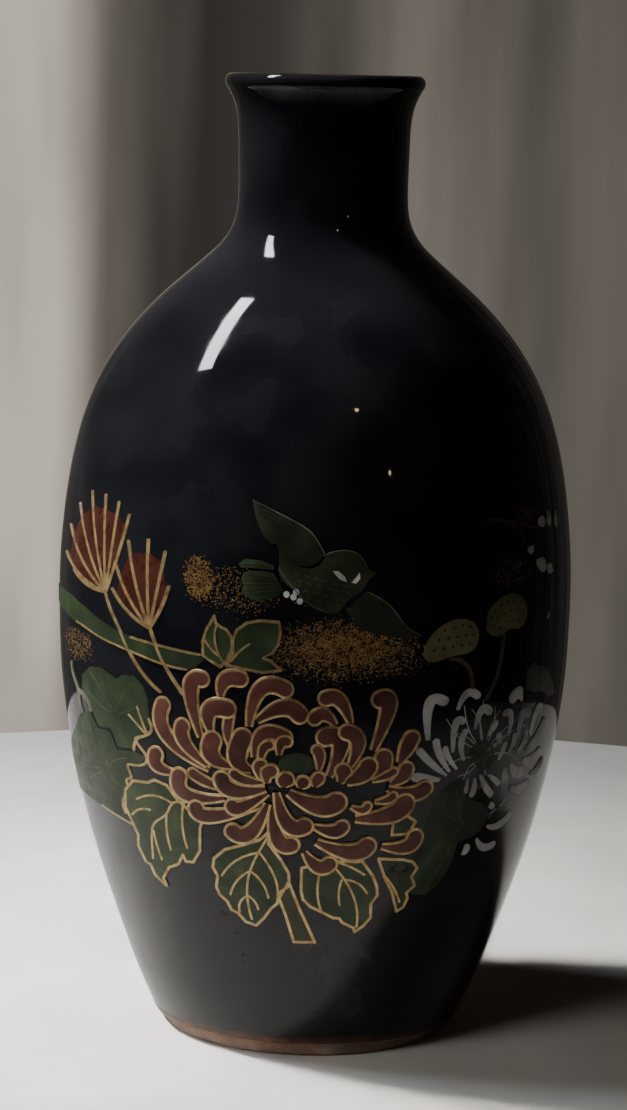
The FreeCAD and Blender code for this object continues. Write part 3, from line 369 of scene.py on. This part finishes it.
# Petals of the red chrysanthemum, back to front: base, turn, tip, width.
RED_PETALS = [
    ((-12.8, 55.5), (-13.5, 58), (-12.9, 60.4), 1.6), ((-13, 48.3), (-17, 49), (-18.6, 50.3), 1.8),
    ((-16, 51.3), (-25.8, 55.5), (-23.6, 61.0), 2.4), ((-16.3, 51.9), (-21.5, 55.5), (-20.4, 58.0), 2.4),
    ((-17.4, 56.5), (-20.8, 66.5), (-17.5, 66.0), 2.6), ((-14.3, 63.5), (-14.5, 67.2), (-11.4, 66.6), 2.6),
    ((-15.8, 57.6), (-17.5, 62.3), (-13.4, 61.6), 3.0), ((-12.6, 52.2), (-17, 53), (-15.6, 56.2), 3.0),
    ((-9.8, 59), (-9.3, 68.0), (-4.3, 65.3), 2.6), ((-8.6, 60), (-4, 64), (-2.0, 61.3), 2.8),
    ((-9.3, 51.9), (-13, 52.5), (-10.8, 57.0), 3.2), ((-8.9, 54), (-8.8, 60), (-4.2, 57.6), 2.4),
    ((-5, 54.6), (-5.2, 57.2), (-3.9, 56.9), 1.8), ((-7.8, 53), (-8, 56), (-6.6, 56.2), 1.6),
    ((2.8, 51.3), (6.5, 59), (2.2, 57.8), 3.0), ((1.2, 52.3), (1.6, 55), (0.9, 55.6), 1.8),
    ((6, 60), (4.5, 65.3), (2.1, 64.0), 2.4), ((6, 53), (8.6, 58), (5.5, 58.6), 2.6),
    ((3.6, 59.8), (1.8, 62.5), (0.4, 60.8), 2.2), ((9.6, 55.5), (13.5, 65.3), (10.6, 63.8), 2.8),
    ((9.8, 50.6), (11.5, 52.5), (11.3, 54.3), 2.8), ((13.8, 53.3), (15, 56), (15.6, 57.2), 2.6),
    ((12.5, 49.8), (14.8, 51), (14.9, 52.2), 2.4), ((9.5, 50.5), (12, 51.2), (12.9, 51.9), 1.4),
    ((4.5, 50.3), (5.3, 52), (5, 52.2), 2.6), ((5.5, 50.3), (8.5, 51.5), (8.9, 52.9), 3.0),
    ((-21.5, 50), (-25.5, 50), (-24.6, 52.6), 2.4), ((-13.5, 46.8), (-22, 45), (-20.8, 49.6), 2.6),
    ((-7.5, 46.3), (-18.0, 41.6), (-18, 44.5), 2.6), ((12, 49.2), (16.2, 47), (17.9, 48.7), 2.6),
    ((10, 47), (12.5, 47), (12.9, 47.8), 1.4), ((7, 44.2), (14, 44), (14.8, 46.4), 3.2),
    ((11.3, 39.3), (16.4, 37.9), (16.6, 40.5), 2.6), ((1, 40.3), (7.5, 37.0), (9.0, 39.4), 3.0),
    ((-0.8, 38.5), (1.5, 34.6), (3.1, 36.4), 2.6), ((0.5, 43), (4.2, 41.3), (5.0, 42.8), 2.4),
    ((-3.5, 48.6), (2, 45), (4.0, 47.0), 3.4), ((6.3, 46.3), (8.5, 45), (8.9, 46.3), 1.4),
    ((-6, 46), (-5.5, 38.5), (-3.0, 39.6), 2.8), ((-5.3, 48.5), (-4, 41.0), (-0.9, 42.9), 2.8),
    ((-6.7, 46.5), (-9.3, 39), (-12.0, 41.2), 2.8), ((-6.7, 48.3), (-12, 44.2), (-12.2, 45.6), 2.4),
    ((-7, 49), (-13.3, 47), (-13.9, 49.9), 2.8), ((-7.2, 50), (-10.5, 49.8), (-11.9, 51.0), 1.8),
    ((-7.9, 50.7), (-9, 53), (-7.7, 53.1), 1.5), ((-6.8, 49.9), (-7.2, 52), (-6.2, 52.0), 2.2),
    ((-4.2, 49.4), (-4.2, 50.2), (-3.9, 50.6), 2.7), ((-1.6, 49.3), (-1.4, 50.0), (-1.2, 50.3), 2.2),
    ((0.6, 49.6), (0.8, 50.6), (1.2, 51.1), 2.0)]

# Pieces of the bottle itself, which keep their own normals.
FIRED_BODY = ("stoneware_body", "black_glaze", "liner_glaze", "base_glaze")


# ---- bottle ----

def glaze_wave(angle, radius, height):
    """Faint turning marks on the wall and an uneven lower edge of the glaze."""
    out = 0.012 * math.sin(2 * angle + 0.09 * height) + 0.006 * math.sin(0.9 * height + angle)
    edge = max(0.0, 1 - (height - 2.4) / 2.2) if radius > 20 else 0.0
    ripple = 0.16 * math.sin(3 * angle + 0.6) + 0.10 * math.sin(8 * angle) + 0.05 * math.sin(19 * angle)
    return (out if radius > 12 else 0.0), edge * ripple


def build_glaze():
    """Outer glaze from its uneven lower edge over the lip and down the bore."""
    edge = [(26.15, 2.75), (26.3, 2.6), (26.5, 2.62), (26.62, 2.8), (26.72, 3.1)]
    wall = [tuple(p) for p in spline(OUTER, 0.45) if p[1] > 3.3]
    lip = [tuple(p) for p in spline(LIP, 0.2)][1:]
    slope = [tuple(p) for p in spline(LIP_SLOPE, 0.3)][1:]
    drop = (BORE_TOP - BORE_FOOT) / BORE_RINGS
    bore = [(BORE, BORE_TOP - drop * i) for i in range(1, BORE_RINGS + 1)]
    outline = edge + wall + lip + slope + bore + [(11.1, BORE_FOOT)]
    piece = turned("glaze_coat", outline, AROUND, GLAZE, glaze_wave)
    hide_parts("black_glaze")
    return piece


def build_liner():
    """Inner glaze below the bore."""
    piece = turned("liner_coat", spline(HOLLOW, 1.2), LINER_AROUND, LINER)
    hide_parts("liner_glaze")


def clay_wave(angle, radius, height):
    """Small chips and trimming grooves on the bare foot."""
    groove = 0.03 * math.sin(9.0 * height + 2 * angle)
    chip = 0.04 * math.sin(37 * angle) * math.sin(11 * angle + 1.3)
    return (groove + chip if height > 0.1 else 0.0), 0.0


def build_foot():
    """Bare foot ring and the recess under the bottle."""
    rings = [(0.01, 2.88), (6.0, 2.84), (12.0, 2.78), (17.0, 2.72)]
    outline = rings + [tuple(p) for p in spline(FOOT, 0.18)]
    piece = turned("clay_foot", outline, AROUND, CLAY, clay_wave)
    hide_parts("stoneware_body")


def paint_frame(glaze):
    """Materials for the CAD pieces, and the glaze's smooth normals on the enamel pads."""
    for name, node in NODES.items():
        node.data.materials.clear()
        node.data.materials.append(PAINT[name])
        if name in FIRED_BODY:
            continue
        node.data.shade_smooth()
        follow = node.modifiers.new("follow_glaze", "DATA_TRANSFER")
        follow.object = glaze
        follow.use_loop_data = True
        follow.data_types_loops = {"CUSTOM_NORMAL"}
        follow.loop_mapping = "POLYINTERP_NEAREST"


# ---- fine brushwork ----

def strokes(name, plane, lines, material, lift):
    """Thin raised brush strokes: each line is its points, its width and how much its end tapers."""
    points, faces = [], []
    for path, width, taper in lines:
        path = [Vector(p) for p in spline(path, 0.35)]
        first = len(points)
        last = len(path) - 1
        for i, spot in enumerate(path):
            way = (path[min(last, i + 1)] - path[max(0, i - 1)]).normalized()
            aside = Vector((-way.y, way.x))
            swell = 1 - taper * (i / last) ** 1.5
            for side, rise in STROKE:
                place = spot + aside * (side * width / 2 * swell)
                points.append(on_wall(plane, place.x, place.y, lift + STROKE_HEIGHT * rise))
        wide = len(STROKE)
        for i in range(last):
            for k in range(wide - 1):
                a = first + wide * i + k
                faces.append((a, a + wide, a + wide + 1, a + 1))
    return make(name, points, faces, material)


def between(start_a, start_b, end_a, end_b, count, bow, width):
    """A fan of curved strokes from one edge to another."""
    lines = []
    for i in range(count):
        share = i / (count - 1)
        start = Vector(start_a).lerp(Vector(start_b), share)
        end = Vector(end_a).lerp(Vector(end_b), share)
        middle = start.lerp(end, 0.5) + Vector((end.y - start.y, start.x - end.x)).normalized() * bow
        lines.append(([tuple(start), tuple(middle), tuple(end)], width, 0.5))
    return lines


def build_bird_feathers():
    """Feather lines over the bird's wings, tail and back."""
    dark = between((0.6, 87.4), (-4.4, 85.4), (-8.6, 93.3), (-5.9, 87.6), 8, 0.5, 0.16)
    dark += between((7.6, 80.7), (5.2, 78.2), (15.2, 74.0), (8.0, 75.1), 8, 0.5, 0.16)
    dark += between((-5.6, 82.6), (-5.3, 81.0), (-11, 83.2), (-10.6, 79.9), 5, 0.1, 0.14)
    dark += [([(-6.8, 84.4), (-9, 84.8), (-11.2, 84.7)], 0.14, 0.5)]
    pale = [([(1.4, 86.8), (-0.5, 89.7), (-4, 91.9), (-9.8, 94.5)], 0.26, 0.7),
            ([(8.3, 80.8), (12.0, 78.4), (14.5, 75.2), (16.8, 73.7)], 0.24, 0.7),
            ([(1.2, 86.4), (3.6, 87.2), (6.6, 86.7), (8.1, 84.6)], 0.18, 0.5),
            ([(-5.6, 84.2), (-3.4, 81.4), (-1, 79), (1.6, 77.8)], 0.18, 0.5)]
    for i in range(26):
        row, column = divmod(i, 6)
        x = -3.2 + 1.5 * column + 0.5 * (row % 2)
        z = 83.8 - 1.15 * row - 0.35 * column
        pale.append(([(x, z), (x + 0.35, z - 0.32), (x + 0.8, z - 0.3)], 0.11, 0.6))
    strokes("bird_feather_lines", 0, dark, DARK, ON_ENAMEL)
    strokes("bird_feather_lights", 0, pale, BIRD_PALE, ON_ENAMEL)


def petal_rows(base, turn, tip, width, grow):
    """Middle, sideways direction and half-width along one curled petal and round its tip."""
    base, turn, tip = Vector(base), Vector(turn), Vector(tip)
    rows = []
    for i in range(PETAL_STEPS + 1):
        s = i / PETAL_STEPS
        spot = base * (1 - s) ** 2 + turn * (2 * s * (1 - s)) + tip * (s * s)
        way = ((turn - base) * (1 - s) + (tip - turn) * s).normalized()
        half = width / 2 * (0.35 + 0.65 * math.sin(min(1.0, s / 0.7) * math.pi / 2)) + grow
        rows.append((spot, Vector((-way.y, way.x)), half))
    aside = Vector((-way.y, way.x))
    for i in range(1, TIP_STEPS + 1):
        angle = math.pi / 2 * i / TIP_STEPS
        rows.append((spot + way * (half * math.sin(angle)), aside, half * math.cos(angle)))
    return rows


def petal_sheets(name, grow, rise, crown, material, node):
    """One raised sheet per petal, each a hair above the petals painted before it."""
    points, faces = [], []
    across = (-1.0, -0.97, -0.75, -0.5, -0.25, 0.0, 0.25, 0.5, 0.75, 0.97, 1.0)
    for order, petal in enumerate(RED_PETALS):
        lift = PETAL_LIFT + PETAL_GAP * order + rise
        rows = petal_rows(*petal, grow)
        first = len(points)
        for spot, aside, half in rows:
            for u in across:
                place = spot + aside * (u * half)
                top = lift + crown * (1 - u * u) if abs(u) < 1 else 0.1
                points.append(on_wall(0, place.x, place.y, top))
        wide = len(across)
        for i in range(len(rows) - 1):
            for k in range(wide - 1):
                a = first + wide * i + k
                faces.append((a, a + 1, a + wide + 1, a + wide))
    piece = make(name, points, faces, material)
    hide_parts(node)


def build_red_chrysanthemum():
    """Petals with gold rims: a wider gold sheet under each narrower enamel sheet."""
    petal_sheets("petal_gold", 0.2, 0.0, 0.0, GOLD, "red_petal_lines")
    petal_sheets("petal_enamel", -0.2, 0.002, 0.002, RED, "red_petals")


def rays(middle, tips, bow, width):
    """Curved strokes from near one point out to several tips."""
    lines = []
    for i, tip in enumerate(tips):
        start = Vector(middle).lerp(Vector(tip), 0.12)
        end = Vector(middle).lerp(Vector(tip), 0.94)
        way = end - start
        half = start.lerp(end, 0.5) + Vector((way.y, -way.x)).normalized() * (bow if i % 2 else -bow)
        lines.append(([tuple(start), tuple(half), tuple(end)], width, 0.6))
    return lines


def build_leaf_veins():
    """Thin brushed veins on the broad leaves that have no gold."""
    left = rays((8.5, 57.4), [(-0.6, 61), (2, 63.8), (5.5, 64.2), (9.5, 63), (13.4, 64), (15.6, 61)],
                0.35, 0.26)
    left += rays((4, 47.6), [(-13.5, 46.5), (-7, 51.4), (1, 55.6), (5.8, 53), (10.6, 50.9), (8.8, 45.4),
                             (2, 41.2), (-7, 41.8)], 0.5, 0.26)
    right = rays((-14.3, 41.5), [(-18.9, 46.6), (-16.8, 48.6), (-14.6, 47.6), (-10.6, 43.6), (-9.9, 40.2),
                                 (-14.4, 35), (-17, 30.8), (-19.3, 34.5)], 0.4, 0.24)
    right += rays((0.6, 63.9), [(-2.8, 65.6), (1.2, 65.8), (4.6, 63.4), (7.2, 60.8)], 0.2, 0.22)
    strokes("left_leaf_veins", -60, left, VEIN, ON_ENAMEL)
    strokes("right_leaf_veins", 58, right, VEIN, ON_ENAMEL)


def build_white_strokes():
    """Fine white strokes that fill the white chrysanthemum between its broad petals."""
    lines = rays((-12.3, 53.0), [(-20.6, 60.4), (-19.6, 58.0), (-17.6, 62.4), (-16.0, 61.6), (-13.6, 63.0),
                                 (-11.0, 61.4), (-9.6, 60.6), (-7.4, 57.6), (-5.6, 57.6), (-3.2, 60.6),
                                 (-1.6, 56.8), (0.2, 53.6), (-3.0, 50.9), (-8.6, 48.2), (-11.6, 47.0),
                                 (-15.6, 48.6), (-16.8, 49.8), (-20.4, 51.4)], 0.8, 0.24)
    lines += rays((-6.0, 43.2), [(-9.6, 42.0), (-7.8, 41.4), (-3.4, 43.0), (-4.2, 44.4)], 0.2, 0.2)
    strokes("white_flower_strokes", 58, lines, WHITE, ON_GLAZE)


def dust_flakes():
    """Gold dust: small flat flakes scattered in clouds that are thickest in the middle."""
    points, faces = [], []
    for plane, across, height, wide, high, count, largest in DUST:
        for _ in range(count):
            turn = random.uniform(0, 2 * math.pi)
            reach = math.sqrt(random.random()) * (1 + random.gauss(0, 0.13))
            x = across + wide * reach * math.cos(turn)
            z = height + high * reach * math.sin(turn)
            size = random.uniform(0.05, largest)
            lean = random.uniform(0, 2 * math.pi)
            first = len(points)
            points.append(on_wall(plane, x, z, 0.075))
            for k in range(FLAKE_CORNERS):
                angle = lean + k * 2 * math.pi / FLAKE_CORNERS + random.uniform(-0.3, 0.3)
                span = size * random.uniform(0.7, 1.2)
                rise = random.uniform(0.025, 0.07)
                corner_x = x + span * math.cos(angle)
                corner_z = z + span * math.sin(angle)
                points.append(on_wall(plane, corner_x, corner_z, rise))
            for k in range(FLAKE_CORNERS):
                faces.append((first, first + 1 + k, first + 1 + (k + 1) % FLAKE_CORNERS))
    piece = make("gold_dust_flakes", points, faces, FLAKE)
    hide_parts("gold_dust")


# ---- camera, light and floor ----

def floor_cloth():
    """Pale cloth with painted shade: darker in front, a painted shadow on the right and a painted fall-off
    of light far out except behind, so it reflects less.
    """
    s = Shader("floor_cloth", 0.9)
    pale = s.ramp(s.noise(35, 6), [(0.3, (0.60, 0.58, 0.545)), (0.7, (0.74, 0.72, 0.68))])
    # Painted shade: the cloth is darkened in front, and on the right as a painted shadow.
    front_painted_shade = s.span(s.along("Y"), -0.045, -0.15, 0.0, 0.95)
    aside = s.span(s.along("X"), -0.05, 0.09, 0.0, 0.75)
    # Painted fall-off of light: the cloth darkens far from the bottle, except behind it.
    far = s.span(s.reach(), 0.11, 0.21, 0.0, 0.93)
    near = s.mix(aside, s.mix(front_painted_shade, pale, (0.05, 0.048, 0.045)), (0.16, 0.15, 0.135))
    front = s.span(s.along("Y"), 0.13, 0.02, 0.0, 1.0)
    far_painted_falloff = s.mix(far, near, (0.02, 0.019, 0.018))
    s.colour(s.mix(front, near, far_painted_falloff))
    return s.material


def build_floor():
    """Flat round floor under the bottle."""
    mesh = bpy.data.meshes.new("floor")
    rim = []
    for k in range(FLOOR_SIDES):
        angle = 2 * math.pi * k / FLOOR_SIDES
        rim.append((FLOOR_RADIUS * math.cos(angle), FLOOR_RADIUS * math.sin(angle), 0))
    mesh.from_pydata(rim, [], [tuple(range(FLOOR_SIDES))])
    mesh.materials.append(floor_cloth())
    floor = bpy.data.objects.new("floor", mesh)
    bpy.context.scene.collection.objects.link(floor)


def room():
    """Dim room: a pale curtain behind the bottle whose folds are painted shade, brighter on the left, dark
    in front.
    """
    world = bpy.data.worlds.new("room")
    world.use_nodes = True
    nodes, links = world.node_tree.nodes, world.node_tree.links

    def node(kind, **values):
        """New node with its input numbers."""
        made = nodes.new(kind)
        for name, value in values.items():
            made.inputs[name.replace("_", " ")].default_value = value
        return made

    def spread(socket, low, high, to_low, to_high):
        """Value carried from one range to another."""
        span = node("ShaderNodeMapRange", From_Min=low, From_Max=high, To_Min=to_low, To_Max=to_high)
        links.new(socket, span.inputs["Value"])
        return span.outputs["Result"]

    def times(one, two):
        """Product of two values."""
        product = nodes.new("ShaderNodeMath")
        product.operation = "MULTIPLY"
        links.new(one, product.inputs[0])
        links.new(two, product.inputs[1])
        return product.outputs[0]

    place = nodes.new("ShaderNodeTexCoord")
    split = nodes.new("ShaderNodeSeparateXYZ")
    links.new(place.outputs["Generated"], split.inputs["Vector"])
    behind = spread(split.outputs["Y"], -0.25, 0.6, 0.006, 1.0)
    low = spread(split.outputs["Z"], 0.75, 0.15, 0.05, 1.0)
    # Painted light and shade across the curtain: a bright band on the left with a dark fold band beside
    # it.
    across = nodes.new("ShaderNodeValToRGB")
    stops = [(0.0, 0.10), (0.60, 0.14), (0.64, 0.50), (0.685, 0.52), (0.705, 0.12), (0.75, 0.08),
             (0.83, 0.16), (0.93, 0.10), (1.0, 0.06)]
    while len(across.color_ramp.elements) < len(stops):
        across.color_ramp.elements.new(0.5)
    for element, (spot, value) in zip(across.color_ramp.elements, stops):
        element.position = spot
        element.color = (value, value, value, 1)
    links.new(spread(split.outputs["X"], -0.6, 0.15, 0.0, 1.0), across.inputs["Fac"])
    side = across.outputs["Color"]
    # Painted shade of the curtain's folds: noise that makes the room's glow lighter and darker in bands.
    folds = node("ShaderNodeMapping", Scale=(9, 9, 1.2))
    links.new(place.outputs["Generated"], folds.inputs["Vector"])
    cloth = node("ShaderNodeTexNoise", Scale=2.2, Detail=3.0)
    links.new(folds.outputs["Vector"], cloth.inputs["Vector"])
    fold_shade = spread(cloth.outputs["Fac"], 0.35, 0.65, 0.45, 1.25)
    bright = times(times(behind, low), times(side, fold_shade))
    links.new(bright, nodes["Background"].inputs["Strength"])
    nodes["Background"].inputs["Color"].default_value = (1.0, 0.89, 0.76, 1)
    return world


def direction(azimuth, elevation):
    """Unit vector; azimuth 0 is the camera's side, positive to the right, elevation up."""
    a, e = math.radians(azimuth), math.radians(elevation)
    return Vector((math.sin(a) * math.cos(e), -math.cos(a) * math.cos(e), math.sin(e)))


def light(name, start, end, distance, width, power, colour, seen=True, spread=180):
    """Area light facing the bottle, stretched between two directions (azimuth, elevation)."""
    first, last = direction(*start), direction(*end)
    way = (first + last).normalized()
    long_axis = (last - first).normalized()
    lamp = bpy.data.lights.new(name, "AREA")
    lamp.shape = "RECTANGLE"
    lamp.size = width
    lamp.size_y = (last - first).length * distance
    lamp.energy = power
    lamp.color = colour
    lamp.spread = math.radians(spread)
    thing = bpy.data.objects.new(name, lamp)
    turn = Matrix((long_axis.cross(way), long_axis, way)).transposed()
    thing.matrix_world = Matrix.Translation(way * distance + Vector((0, 0, AIM_HEIGHT))) @ turn.to_4x4()
    thing.visible_camera = False
    thing.visible_glossy = seen
    bpy.context.scene.collection.objects.link(thing)


def camera():
    """Half a metre away, 9 degrees down, a small roll, long lens."""
    lens = bpy.data.cameras.new("camera")
    lens.lens = CAMERA_LENS
    lens.sensor_width = 36
    lens.clip_start = 0.01
    thing = bpy.data.objects.new("camera", lens)
    turn = Matrix.Rotation(math.radians(CAMERA_TURN), 4, "Z")
    tilt = Matrix.Rotation(math.radians(CAMERA_TILT), 4, "X")
    roll = Matrix.Rotation(math.radians(CAMERA_ROLL), 4, "Z")
    thing.matrix_world = Matrix.Translation((0, -CAMERA_AWAY, CAMERA_HEIGHT)) @ turn @ tilt @ roll
    bpy.context.scene.collection.objects.link(thing)
    bpy.context.scene.camera = thing


glaze_piece = build_glaze()
build_liner()
build_foot()
paint_frame(glaze_piece)
build_red_chrysanthemum()
build_bird_feathers()
build_leaf_veins()
build_white_strokes()
dust_flakes()
build_floor()
bpy.context.scene.world = room()
light("window", (-80, 44), (-118, 62), 1.4, 0.15, 22.0, (0.90, 0.95, 1.0))
light("pool", (-100, 44), (-100, 60), 1.4, 0.25, 1.1, (1.0, 0.98, 0.95), seen=False, spread=11)
light("front_fill", (-50, 8), (-50, 30), 1.0, 0.5, 0.5, (1.0, 0.97, 0.92), seen=False, spread=40)
light("lamp_high", (22, 40.3), (22, 41.7), 1.6, 0.04, 0.3, (1.0, 0.62, 0.30))
light("lamp_low", (34, 17.1), (34, 18.1), 1.6, 0.02, 0.12, (1.0, 0.62, 0.30))
camera()
